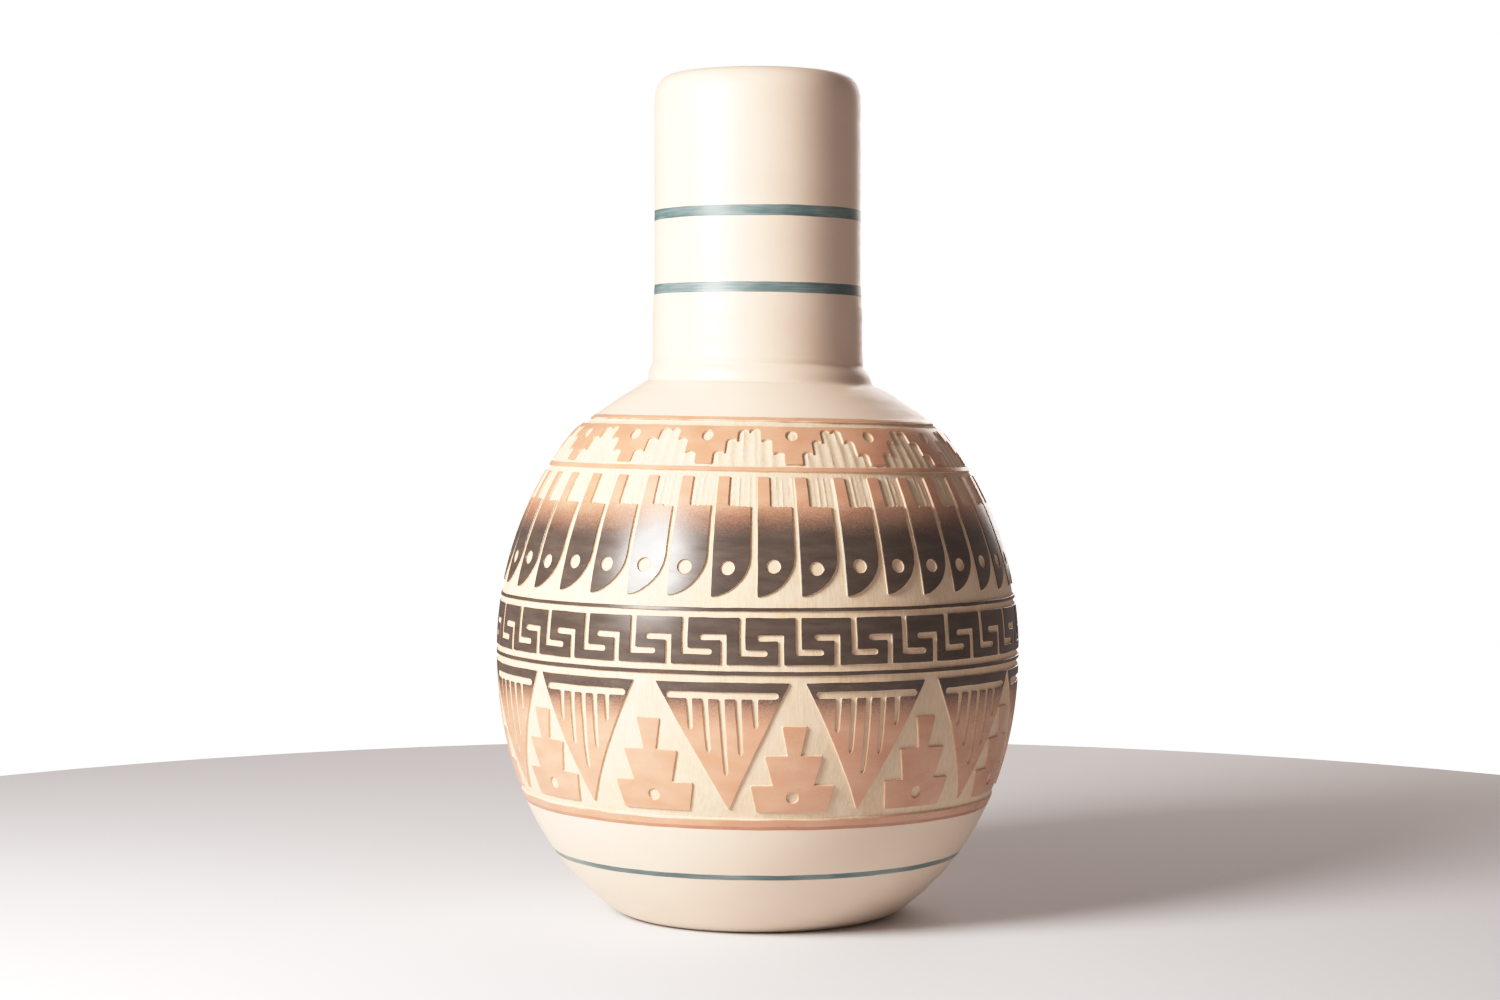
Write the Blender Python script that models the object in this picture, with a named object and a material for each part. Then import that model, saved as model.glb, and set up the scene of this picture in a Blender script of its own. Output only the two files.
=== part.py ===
"""Carved bottle vase, 250 mm tall: a thrown globe in two bowls, a luted neck, and slip bands.

Lengths below are in millimetres and angles in degrees. Angle 0 faces -Y and grows towards +X.
The origin is the centre of the foot, on the surface that the vase stands on, with +Z up.
"""
import math

import bmesh
import bpy
from mathutils import Vector
from mathutils.geometry import delaunay_2d_cdt

MM = 0.001

# Globe: a superellipse, fuller below the belly than above it.
BELLY_RADIUS = 78.1
BELLY_HEIGHT = 79.7
LOWER_REACH = 91.1
LOWER_POWER = 2.154
UPPER_REACH = 93.5
UPPER_POWER = 1.932
FOOT_ROUNDING = 2.5
FOOT_TUCK = 1.9

# Shoulder, neck and lip.
SHOULDER_START = 144.8
SHOULDER_END = 153.9
SHOULDER_END_RADIUS = 41.5
NECK_FOOT_RADIUS = 31.4
NECK_SWEEP = 4.0
NECK_SWEEP_POWER = 1.35
NECK_TAPER_START = 178.0
NECK_TAPER_END = 188.0
NECK_RADIUS = 30.87
LIP_START = 241.5
OVERALL_HEIGHT = 250.0
LIP_CREST_RADIUS = 24.5
LIP_POWER = 2.4
LIP_BORE_RADIUS = 23.0
NECK_BORE_RADIUS = 25.4

# Clay walls, the joint between the bowls and the seat of the neck.
WALL = 5.5
FLOOR_THICKNESS = 8.0
FOOT_RING_INNER_RADIUS = 31.0
FOOT_HOLLOW_DEPTH = 1.2
BELLY_JOINT_HEIGHT = 84.0
JOINT_TONGUE_RISE = 2.4
SPIGOT_RADIUS = 29.5
SEAT_HEIGHT = 154.2
COIL_BOTTOM = 158.7
COIL_TOP = 164.1

# Slip work: the clay is cut back under every band and the slip fills it out to the surface.
GAP = 0.3
SLIP_THICKNESS = 0.5
CUT_DEPTH = GAP + SLIP_THICKNESS
SEGMENTS = 40
LONGEST_TURN = 6.2
LONGEST_RISE = 7.0
SLIVER_AREA = 1e-3

# Painted and carved lines: name, lower edge, upper edge.
TEAL_LINES = (
    ("teal_line_foot", 18.5, 20.2),
    ("teal_band_lower", 184.5, 187.3),
    ("teal_band_upper", 206.5, 209.3),
)
TERRACOTTA_LINES = (
    ("lower_terracotta_line", 33.9, 36.8),
    ("divider_line", 133.3, 134.3),
    ("shoulder_line", 147.3, 148.3),
)
BLACK_LINES = (
    ("lower_black_line", 77.7, 78.7),
    ("upper_black_line", 95.2, 96.1),
)
FIELD_BOTTOM = TERRACOTTA_LINES[0][1] - GAP
FIELD_TOP = TERRACOTTA_LINES[-1][2] + GAP

# Cloud band: terracotta hanging between pyramids that are cut in steps from below.
CLOUD_COUNT = 15
CLOUD_PYRAMID_ANGLE = -2.5
CLOUD_STEPS = ((135.2, 9.5), (138.5, 6.3), (141.8, 3.0), (144.5, 0.0))
CLOUD_TOP = 145.6

# Feather band: a row of feathers with rounded tips that lean to the left.
FEATHER_COUNT = 38
FEATHER_ANGLE = -0.2
FEATHER_WIDTH = 8.2
FEATHER_QUILL_WIDTH = 3.0
FEATHER_TOP = 131.7
FEATHER_VANE_TOP = 123.5
FEATHER_WEB_BOTTOM = 120.5
FEATHER_TIP_START = 107.0
FEATHER_TIP = 99.2

# Key band: a meander between hooks that are cut in from above and from below.
KEY_COUNT = 31
KEY_ANGLE = -3.2
KEY_BOTTOM = 80.5
KEY_TOP = 93.4
KEY_CUT_WIDTH = 1.2
KEY_CUT_HEIGHT = 1.5
KEY_UPPER_HOOK = (0.0, 84.0, 5.2)
KEY_LOWER_HOOK = (7.7, 88.8, 3.3)

# Hanging triangles with stepped mesas between them.
TRIANGLE_COUNT = 12
TRIANGLE_ANGLE = -7.4
TRIANGLE_TOP = 75.6
TRIANGLE_TIP = 39.5
TRIANGLE_HALF_WIDTH = 13.8
MESA_TIERS = ((39.2, 8.0), (47.0, 9.0), (47.0, 4.5), (56.0, 6.1), (56.0, 1.4), (65.0, 2.5))
MESA_DOT_HEIGHT = 43.4
MESA_DOT_RADIUS = 1.6

# Base colour and roughness of each finish.
FINISHES = {
    "cream_clay": ((0.87, 0.76, 0.64, 1.0), 0.55),
    "terracotta_slip": ((0.56, 0.24, 0.15, 1.0), 0.32),
    "black_slip": ((0.06, 0.05, 0.045, 1.0), 0.28),
    "teal_slip": ((0.09, 0.19, 0.19, 1.0), 0.5),
}


def clear_scene():
    for item in list(bpy.data.objects):
        bpy.data.objects.remove(item)


def finish(name):
    """The material of that name, made on first use."""
    found = bpy.data.materials.get(name)
    if found:
        return found
    colour, roughness = FINISHES[name]
    material = bpy.data.materials.new(name)
    material.use_nodes = True
    shader = material.node_tree.nodes["Principled BSDF"]
    shader.inputs["Base Color"].default_value = colour
    shader.inputs["Roughness"].default_value = roughness
    shader.inputs["Metallic"].default_value = 0.0
    material.diffuse_color = colour
    return material


def add_part(name, mesh, finish_name):
    mesh.materials.append(finish(finish_name))
    mesh.shade_smooth()
    mesh.set_sharp_from_angle(angle=math.radians(35))
    part = bpy.data.objects.new(name, mesh)
    bpy.context.scene.collection.objects.link(part)
    return part


# Outer surface ---------------------------------------------------------------------------------

def globe_radius(height):
    rise = height - BELLY_HEIGHT
    reach = UPPER_REACH if rise > 0 else LOWER_REACH
    power = UPPER_POWER if rise > 0 else LOWER_POWER
    return BELLY_RADIUS * (1 - (abs(rise) / reach) ** power) ** (1 / power)


def lip_radius(height):
    rise = min(1.0, (height - LIP_START) / (OVERALL_HEIGHT - LIP_START))
    overhang = (1 - rise ** LIP_POWER) ** (1 / LIP_POWER)
    return LIP_CREST_RADIUS + (NECK_RADIUS - LIP_CREST_RADIUS) * overhang


def outer_radius(height):
    """Radius of the finished outside at a height."""
    if height < FOOT_ROUNDING:
        return globe_radius(height) - FOOT_TUCK * (1 - height / FOOT_ROUNDING) ** 2
    if height < SHOULDER_START:
        return globe_radius(height)
    if height < SHOULDER_END:
        share = (height - SHOULDER_START) / (SHOULDER_END - SHOULDER_START)
        top = globe_radius(SHOULDER_START)
        return top + (SHOULDER_END_RADIUS - top) * share
    if height < NECK_TAPER_START:
        sweep = ((height - SHOULDER_END) / NECK_SWEEP) ** NECK_SWEEP_POWER
        return NECK_FOOT_RADIUS + (SHOULDER_END_RADIUS - NECK_FOOT_RADIUS) * math.exp(-sweep)
    if height < LIP_START:
        share = min(1.0, (height - NECK_TAPER_START) / (NECK_TAPER_END - NECK_TAPER_START))
        return NECK_FOOT_RADIUS + (NECK_RADIUS - NECK_FOOT_RADIUS) * share
    return lip_radius(height)


def inset(height, depth):
    """(radius, height) of the point that lies depth below the outer surface."""
    slope = (outer_radius(height + 0.05) - outer_radius(height - 0.05)) / 0.1
    length = math.hypot(1.0, slope)
    return outer_radius(height) - depth / length, height + depth * slope / length


def steps(start, stop, count):
    return [start + (stop - start) * i / count for i in range(count + 1)]


# Turned clay and painted rings -----------------------------------------------------------------

def turned(name, section, finish_name):
    """A solid turned about +Z from a closed section of (radius, height), clay on its left."""
    bm = bmesh.new()
    rings = []
    for radius, height in section:
        if radius < 1e-6:
            rings.append([bm.verts.new((0, 0, height * MM))] * SEGMENTS)
            continue
        ring = []
        for i in range(SEGMENTS):
            turn = math.tau * i / SEGMENTS
            spot = (radius * math.sin(turn) * MM, -radius * math.cos(turn) * MM, height * MM)
            ring.append(bm.verts.new(spot))
        rings.append(ring)
    for lower, upper in zip(rings, rings[1:] + rings[:1]):
        for i in range(SEGMENTS):
            j = (i + 1) % SEGMENTS
            corners = list(dict.fromkeys((lower[i], lower[j], upper[j], upper[i])))
            if len(corners) > 2:
                bm.faces.new(corners)
    mesh = bpy.data.meshes.new(name)
    bm.to_mesh(mesh)
    bm.free()
    return add_part(name, mesh, finish_name)


def channel(bottom, top):
    """Section points of a groove that a painted line fills, from its lower to its upper edge."""
    low = bottom - GAP
    high = top + GAP
    return [inset(low, 0), inset(low, CUT_DEPTH), inset(high, CUT_DEPTH), inset(high, 0)]


def lower_bowl():
    """Floor, foot ring and lower half of the globe, with the tongue of the belly joint."""
    rim = outer_radius(BELLY_JOINT_HEIGHT)
    foot_line = TEAL_LINES[0]
    hollow_edge = FOOT_RING_INNER_RADIUS - FOOT_HOLLOW_DEPTH
    section = [(0, FOOT_HOLLOW_DEPTH), (hollow_edge, FOOT_HOLLOW_DEPTH)]
    section += [(FOOT_RING_INNER_RADIUS, 0)]
    section += [(outer_radius(z), z) for z in (0, 1.0, 2.5, 6.5, 12.5)]
    section += channel(foot_line[1], foot_line[2])
    section += [inset(z, 0) for z in (28.0, FIELD_BOTTOM)]
    section += [inset(z, CUT_DEPTH) for z in steps(FIELD_BOTTOM, BELLY_JOINT_HEIGHT, 5)]
    section += [(rim - WALL / 2, BELLY_JOINT_HEIGHT + JOINT_TONGUE_RISE)]
    section += [inset(z, WALL) for z in steps(BELLY_JOINT_HEIGHT, 14.0, 5)]
    section += [(34.0, FLOOR_THICKNESS), (0, FLOOR_THICKNESS)]
    return turned("lower_bowl", section, "cream_clay")


def upper_bowl():
    """Upper half of the globe and the shoulder, up to the rebate that seats the neck."""
    joint = BELLY_JOINT_HEIGHT + GAP
    rim = outer_radius(joint)
    section = [inset(joint, CUT_DEPTH)]
    section += [inset(z, CUT_DEPTH) for z in steps(joint, FIELD_TOP, 6)[1:]]
    section += [inset(FIELD_TOP, 0), inset(SHOULDER_END, 0)]
    section += [(outer_radius(z), z) for z in (156.3, COIL_BOTTOM - GAP)]
    section += [(SPIGOT_RADIUS + GAP, COIL_BOTTOM - GAP), (SPIGOT_RADIUS + GAP, SEAT_HEIGHT)]
    section += [(NECK_BORE_RADIUS, SEAT_HEIGHT), (NECK_BORE_RADIUS + 1.0, 151.0)]
    section += [inset(z, WALL) for z in steps(147.0, joint, 5)]
    section += [(rim - WALL / 2, joint + JOINT_TONGUE_RISE)]
    return turned("upper_bowl", section, "cream_clay")


def neck_tube():
    """Neck from its spigot to the lip; the luting coil wraps the spigot above the seat."""
    section = [(NECK_BORE_RADIUS, SEAT_HEIGHT + GAP), (SPIGOT_RADIUS, SEAT_HEIGHT + GAP)]
    section += [(SPIGOT_RADIUS, COIL_TOP), (outer_radius(COIL_TOP), COIL_TOP)]
    section += [(outer_radius(NECK_TAPER_START), NECK_TAPER_START)]
    for _, bottom, top in TEAL_LINES[1:]:
        section += channel(bottom, top)
    section += [(lip_radius(z), z) for z in (LIP_START, 245.2, 247.8, 249.3, OVERALL_HEIGHT)]
    section += [(LIP_BORE_RADIUS + 0.5, 249.6), (LIP_BORE_RADIUS, 248.0)]
    section += [(LIP_BORE_RADIUS + 0.3, 243.0), (NECK_BORE_RADIUS, 235.0)]
    return turned("neck_tube", section, "cream_clay")


def neck_luting_coil():
    """Soft coil pressed round the joint of neck and shoulder, with a slightly domed face."""
    inner = SPIGOT_RADIUS + GAP
    top = COIL_TOP - GAP
    middle = (COIL_BOTTOM + top) / 2
    section = [(inner, COIL_BOTTOM), (outer_radius(COIL_BOTTOM), COIL_BOTTOM)]
    section += [(outer_radius(middle) + 0.3, middle), (outer_radius(top), top), (inner, top)]
    return turned("neck_luting_coil", section, "cream_clay")


def painted_ring(name, bottom, top, finish_name):
    section = [inset(bottom, SLIP_THICKNESS), inset(bottom, 0)]
    section += [inset(top, 0), inset(top, SLIP_THICKNESS)]
    return turned(name, section, finish_name)


# Slip plates -----------------------------------------------------------------------------------

def split_edges(loop):
    """The loop with extra points, so that no edge turns or rises too far to follow the globe."""
    points = []
    for (turn_a, z_a), (turn_b, z_b) in zip(loop, loop[1:] + loop[:1]):
        turn_share = abs(turn_b - turn_a) / LONGEST_TURN
        rise_share = abs(z_b - z_a) / LONGEST_RISE
        count = max(1, math.ceil(max(turn_share, rise_share) - 1e-6))
        for i in range(count):
            share = i / count
            points.append((turn_a + (turn_b - turn_a) * share, z_a + (z_b - z_a) * share))
    return points


def inside(point, loops):
    """Whether a point is in the shape that the loops bound, counting holes as outside."""
    found = False
    for loop in loops:
        for (x_a, y_a), (x_b, y_b) in zip(loop, loop[1:] + loop[:1]):
            if (y_a > point[1]) == (y_b > point[1]):
                continue
            if point[0] < x_a + (point[1] - y_a) * (x_b - x_a) / (y_b - y_a):
                found = not found
    return found


def clearance(point, points):
    return min(math.hypot(point[0] - x, point[1] - y) for x, y in points)


def flat_triangles(loops):
    """Corner points and triangles of a shape drawn flat in (angle, height)."""
    loops = [split_edges(loop) for loop in loops]
    points = [point for loop in loops for point in loop]
    edges = []
    start = 0
    for loop in loops:
        edges += [(start + i, start + (i + 1) % len(loop)) for i in range(len(loop))]
        start += len(loop)
    low_turn = min(turn for turn, _ in points)
    high_turn = max(turn for turn, _ in points)
    low_z = min(z for _, z in points)
    high_z = max(z for _, z in points)
    columns = max(1, math.ceil((high_turn - low_turn) / LONGEST_TURN))
    rows = max(1, math.ceil((high_z - low_z) / LONGEST_RISE))
    extra = []
    for turn in steps(low_turn, high_turn, columns)[1:-1]:
        for z in steps(low_z, high_z, rows)[1:-1]:
            if inside((turn, z), loops) and clearance((turn, z), points) > LONGEST_TURN / 2:
                extra.append((turn, z))
    flat = [Vector(point) for point in points + extra]
    corners, _, triangles, _, _, _ = delaunay_2d_cdt(flat, edges, [], 0, 1e-5)
    kept = []
    for triangle in triangles:
        a, b, c = (corners[i] for i in triangle)
        area = abs((b - a).cross(c - a)) / 2
        if area > SLIVER_AREA and inside((a + b + c) / 3, loops):
            kept.append(triangle)
    return [tuple(corner) for corner in corners], kept


def slip_plate(name, loops, finish_name, turns):
    """A thin shell of slip over the globe: the flat shape of the loops, laid at each turn."""
    flat, triangles = flat_triangles(loops)
    bm = bmesh.new()
    made = {}

    def pair(turn, z):
        key = (round(turn, 3) % 360, round(z, 3))
        if key not in made:
            swing = math.radians(turn)
            made[key] = []
            for depth in (0, SLIP_THICKNESS):
                radius, height = inset(z, depth)
                spot = (radius * math.sin(swing), -radius * math.cos(swing), height)
                made[key].append(bm.verts.new([length * MM for length in spot]))
        return made[key]

    sides = {}
    for base in turns:
        for triangle in triangles:
            pairs = [pair(base + flat[i][0], flat[i][1]) for i in triangle]
            bm.faces.new([outer for outer, _ in pairs])
            bm.faces.new([inner for _, inner in reversed(pairs)])
            for a, b in zip(pairs, pairs[1:] + pairs[:1]):
                if (b[0], a[0]) in sides:
                    del sides[b[0], a[0]]
                else:
                    sides[a[0], b[0]] = (a, b)
    for a, b in sides.values():
        bm.faces.new((a[0], a[1], b[1], b[0]))
    mesh = bpy.data.meshes.new(name)
    bm.to_mesh(mesh)
    bm.free()
    return add_part(name, mesh, finish_name)


def dot(turn, height, radius, corners=6):
    """Outline of a punched dot, round on the surface of the globe."""
    stretch = math.degrees(1 / outer_radius(height))
    outline = []
    for i in range(corners):
        swing = math.tau * i / corners
        outline.append((turn + radius * stretch * math.cos(swing), height + radius * math.sin(swing)))
    return outline


def evenly(count, first):
    return [first + 360 * i / count for i in range(count)]


def cloud_band():
    """Connected ring of terracotta, cut from below by stepped pyramids."""
    half_pitch = 180 / CLOUD_COUNT
    foot = CLOUD_STEPS[0][0]
    outline = [(half_pitch, foot), (half_pitch, CLOUD_TOP), (-half_pitch, CLOUD_TOP)]
    outline += [(-half_pitch, foot)]
    left_side = []
    for (bottom, half_width), (top, _) in zip(CLOUD_STEPS, CLOUD_STEPS[1:]):
        left_side += [(-half_width, bottom), (-half_width, top)]
    outline += left_side
    outline += [(-turn, z) for turn, z in reversed(left_side)]
    turns = evenly(CLOUD_COUNT, CLOUD_PYRAMID_ANGLE)
    slip_plate("cloud_band", [outline], "terracotta_slip", turns)


def feather_band():
    """Ring of feathers, joined by a narrow web where the quill strip meets the vane."""
    pitch = 360 / FEATHER_COUNT
    outline = [(0, FEATHER_TIP)]
    for share in (0.55, 1.0):
        sag = 1 - share ** 2
        tip_height = FEATHER_TIP_START - (FEATHER_TIP_START - FEATHER_TIP) * sag
        outline.append((FEATHER_WIDTH * share, tip_height))
    outline += [(FEATHER_WIDTH, FEATHER_WEB_BOTTOM), (pitch, FEATHER_WEB_BOTTOM)]
    outline += [(pitch, FEATHER_VANE_TOP), (FEATHER_QUILL_WIDTH, FEATHER_VANE_TOP)]
    outline += [(FEATHER_QUILL_WIDTH, FEATHER_TOP), (0, FEATHER_TOP)]
    outline += [(0, FEATHER_VANE_TOP), (0, FEATHER_WEB_BOTTOM)]
    slip_plate("feather_band", [outline], "black_slip", evenly(FEATHER_COUNT, FEATHER_ANGLE))


def key_band():
    """Connected meander between hooks cut in from the upper and the lower edge."""
    pitch = 360 / KEY_COUNT
    half = KEY_CUT_WIDTH / 2
    left = -pitch / 4
    right = left + pitch
    stem, foot, reach = KEY_UPPER_HOOK
    rise = KEY_CUT_HEIGHT / 2
    outline = [(left, KEY_TOP), (left, KEY_BOTTOM)]
    low_stem, head, low_reach = KEY_LOWER_HOOK
    outline += [(low_stem - half, KEY_BOTTOM), (low_stem - half, head - rise)]
    outline += [(low_reach, head - rise), (low_reach, head + rise)]
    outline += [(low_stem + half, head + rise), (low_stem + half, KEY_BOTTOM)]
    outline += [(right, KEY_BOTTOM), (right, KEY_TOP)]
    outline += [(stem + half, KEY_TOP), (stem + half, foot + rise)]
    outline += [(reach, foot + rise), (reach, foot - rise)]
    outline += [(stem - half, foot - rise), (stem - half, KEY_TOP)]
    slip_plate("key_band", [outline], "black_slip", evenly(KEY_COUNT, KEY_ANGLE))


def triangles():
    outline = [(0, TRIANGLE_TIP), (TRIANGLE_HALF_WIDTH, TRIANGLE_TOP)]
    outline += [(-TRIANGLE_HALF_WIDTH, TRIANGLE_TOP)]
    for number, turn in enumerate(evenly(TRIANGLE_COUNT, TRIANGLE_ANGLE), start=1):
        slip_plate(f"triangle_{number:02d}", [outline], "terracotta_slip", [turn])


def mesas():
    """Stacked tiers that widen upwards, each with a punched dot in its lowest tier."""
    right_side = [(half_width, z) for z, half_width in MESA_TIERS]
    outline = right_side + [(-turn, z) for turn, z in reversed(right_side)]
    hole = dot(0, MESA_DOT_HEIGHT, MESA_DOT_RADIUS)
    first = TRIANGLE_ANGLE + 180 / TRIANGLE_COUNT
    for number, turn in enumerate(evenly(TRIANGLE_COUNT, first), start=1):
        slip_plate(f"stepped_mesa_{number:02d}", [outline, hole], "terracotta_slip", [turn])


def main():
    clear_scene()
    lower_bowl()
    upper_bowl()
    neck_tube()
    neck_luting_coil()
    for name, bottom, top in TEAL_LINES:
        painted_ring(name, bottom, top, "teal_slip")
    for name, bottom, top in TERRACOTTA_LINES:
        painted_ring(name, bottom, top, "terracotta_slip")
    for name, bottom, top in BLACK_LINES:
        painted_ring(name, bottom, top, "black_slip")
    cloud_band()
    feather_band()
    key_band()
    triangles()
    mesas()


main()
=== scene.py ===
"""Looks of the carved bottle vase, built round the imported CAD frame.

Lengths are in millimetres and angles in degrees until place() turns them into metres. Angle 0
faces -Y and grows towards +X, as in the CAD model.
"""
import math

import bpy
import numpy as np
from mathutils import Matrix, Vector, noise
from mathutils.geometry import delaunay_2d_cdt


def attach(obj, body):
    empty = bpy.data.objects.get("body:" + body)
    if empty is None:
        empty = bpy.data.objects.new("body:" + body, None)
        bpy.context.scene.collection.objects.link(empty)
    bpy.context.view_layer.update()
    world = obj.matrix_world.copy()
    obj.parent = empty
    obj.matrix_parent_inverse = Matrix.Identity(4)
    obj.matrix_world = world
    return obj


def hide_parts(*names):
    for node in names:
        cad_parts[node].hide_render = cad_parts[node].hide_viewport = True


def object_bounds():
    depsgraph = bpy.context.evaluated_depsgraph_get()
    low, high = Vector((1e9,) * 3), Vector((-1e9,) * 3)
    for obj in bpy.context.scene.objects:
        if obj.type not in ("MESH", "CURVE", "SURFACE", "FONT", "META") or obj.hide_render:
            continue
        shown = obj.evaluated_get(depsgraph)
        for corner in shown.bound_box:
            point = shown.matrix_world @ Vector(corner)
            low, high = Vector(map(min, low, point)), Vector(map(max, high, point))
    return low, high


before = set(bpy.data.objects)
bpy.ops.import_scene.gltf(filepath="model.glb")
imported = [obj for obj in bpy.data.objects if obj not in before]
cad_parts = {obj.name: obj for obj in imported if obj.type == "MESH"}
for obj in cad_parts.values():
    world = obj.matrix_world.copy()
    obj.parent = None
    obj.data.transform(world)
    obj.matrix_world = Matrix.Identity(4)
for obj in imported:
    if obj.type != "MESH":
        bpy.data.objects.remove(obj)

CAD_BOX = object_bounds()
MM = 0.001

# noise_vector takes its offsets from this seed, and from the clock without it.
noise.seed_set(11)

# Form, as in the CAD model.
BELLY_RADIUS = (CAD_BOX[1].x - CAD_BOX[0].x) / 2 / MM
HEIGHT = CAD_BOX[1].z / MM
BELLY_HEIGHT = 79.7
LOWER_REACH = 91.1
LOWER_POWER = 2.154
UPPER_REACH = 93.5
UPPER_POWER = 1.932
FOOT_ROUNDING = 2.5
FOOT_TUCK = 1.9
SHOULDER_START = 144.8
SHOULDER_END = 153.9
SHOULDER_END_RADIUS = 41.5
NECK_FOOT_RADIUS = 31.4
NECK_SWEEP = 4.0
NECK_SWEEP_POWER = 1.35
NECK_TAPER = (178.0, 188.0)
NECK_RADIUS = 30.87
LIP_START = 241.5
LIP_CREST_RADIUS = 24.5
LIP_POWER = 2.4
LIP_BORE_RADIUS = 23.0
NECK_BORE_RADIUS = 25.4
WALL = 5.5
FLOOR_THICKNESS = 8.0
FOOT_RING_INNER_RADIUS = 31.0
FOOT_HOLLOW_DEPTH = 1.2
BELLY_JOINT_HEIGHT = 84.0
SPIGOT_RADIUS = 29.5
SEAT_HEIGHT = 154.2
COIL_BOTTOM = 158.6
COIL_TOP = 164.0

# The coil's own swell, how high and how wide, and the grooves beside it: height, width and depth.
COIL_SWELL = (0.34, 1.5)
COIL_GROOVES = ((COIL_TOP - 0.1, 0.9, 0.34), (COIL_BOTTOM + 0.2, 1.0, 0.62))

# The inside of the floor, from the wall to the middle: radius and rise.
FLOOR_CURVE = ((46.0, 3.0), (40.0, 1.0), (30.0, 0.1), (16.0, 0.0), (4.0, 0.1))

# Where the corners of the profile are rubbed soft.
RUBBED = (130, 200)

# How far each turned line drops towards +X, as the bands were drawn by hand on a wheel.
DROP_HEIGHTS = (0, 20, 36, 78, 96, 134, 148, 165, 186, 208, 235)
DROPS = (0, 0.24, 0.70, 0.70, 0.45, 0.95, 0.88, 0.85, 0.26, 0.08, 0)

# Depths below the finished surface.
PLAIN_DEPTH = 0.04
CUT_DEPTH = 0.62
SEAM = 0.02

# The bank round the carved field, and the edge of the slip from the clay under it to its top. Each
# step is how far it lies outwards and how deep.
BANK = ((0.0, 0.02), (0.04, 0.08), (0.12, 0.32), (0.20, 0.52))
EDGE = ((0.12, 1.05), (0.02, 0.24), (-0.03, 0.07), (-0.11, 0.0))
PAINTED_FOOT = 0.12
TURNED_FOOT = EDGE[0][1]

# How the edges waver: length and size of the slow swing and of the fast one.
WAVER_SLOW = (6.5, 0.12)
WAVER_FAST = (1.7, 0.04)

# The carved field and the lines that border and divide it: lower edge, upper edge.
FIELD = (36.9, 147.2)
TEAL_LINES = {
    "teal_line_foot": (18.5, 20.2),
    "teal_band_lower": (184.2, 187.4),
    "teal_band_upper": (206.3, 209.6),
}
PAINTED_LINES = {"lower_terracotta_line": (33.9, 36.9), "shoulder_line": (147.2, 148.3)}
TURNED_LINES = {
    "divider_line": (133.2, 134.4, "terracotta_slip"),
    "upper_black_line": (95.1, 96.1, "black_slip"),
    "lower_black_line": (77.6, 78.7, "black_slip"),
}

# Cloud band.
CLOUD_COUNT = 15
CLOUD_FIRST = -2.5
CLOUD_SPAN = (135.2, 145.7)
CLOUD_STROKE = 3.2
CLOUD_STROKE_TOPS = (138.7, 142.1, 144.8, 144.9, 142.0, 138.6)
CLOUD_DOT = (143.0, 1.75)
CLOUD_DOT_LEAN = 0.8

# Feathers.
FEATHER_COUNT = 38
FEATHER_FIRST = -0.2
FEATHER_WIDTH = 8.2
QUILL_WIDTH = 3.0
FEATHER_TOP = 131.7
FEATHER_VANE_TOP = 123.4
FEATHER_TIP = 99.1
FEATHER_CURVE = 11.0
FEATHER_STROKES = 4
FEATHER_DOT = (3.4, 107.0, 2.0)
FEATHER_FADE = (114.3, 125.6)
FADE_POWER = 1.5

# Key band: stem offset, height of the hook and how far the hook reaches, from the pitch line. The
# breaks are one more corner of the upper and of the lower outline.
KEY_COUNT = 31
KEY_FIRST = -3.2
KEY_SPAN = (80.5, 93.4)
KEY_STROKE = 1.65
KEY_UPPER = (0.0, 83.9, 5.3)
KEY_LOWER = (7.9, 87.9, 2.9)
KEY_UPPER_BREAK = -5.0
KEY_LOWER_BREAK = 5.8
KEY_SEAM = 5

# Triangles with a carved comb, and stepped mesas between them.
TRIANGLE_COUNT = 12
TRIANGLE_FIRST = -7.4
TRIANGLE_TOP = 75.6
TRIANGLE_TIP = 39.6
TRIANGLE_HALF = 13.8
TRIANGLE_FADE = (61.0, 72.5)
COMB_BAR = (72.0, 14.9, 0.95)
COMB_PITCH = 4.5
COMB_ENDS = (62.0, 55.8, 49.6, 55.2, 63.2)
COMB_HALF = 0.85
MESA_SIDE = ((39.2, 7.9), (47.2, 9.1), (47.4, 4.5), (56.2, 6.1), (56.4, 1.4), (65.2, 2.6))
MESA_DOT = (43.5, 1.75)

# Where the hand strayed from the pattern, by number from 0: how far a triangle's top and tip went
# to the right and how wide it came out, and how far a mesa went and how tall it came out.
TRIANGLE_STRAYS = {
    0: (0.0, 1.3, 1.0),
    1: (0.9, 0.0, 0.98),
    2: (2.2, 0.7, 1.0),
    5: (-0.8, 0.6, 1.03),
    8: (0.9, -0.7, 0.96),
    11: (-1.9, -3.0, 0.92),
}
MESA_STRAYS = {0: (0.0, 0.94), 3: (0.7, 1.02), 6: (-0.6, 0.97), 11: (-1.0, 1.0)}

# Fineness of the meshes.
COLUMNS = 720
NECK_COLUMNS = 360
INNER_COLUMNS = 90
FIELD_ROW = 0.6
PLAIN_ROW = 1.1
OUTLINE_STEP = 1.0
CLOSEST = 0.3
FILL_STEP = 2.6
FILL_CLEARANCE = 0.9
BLOCK = 2000


# Surface of the vase ---------------------------------------------------------------------------

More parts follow.
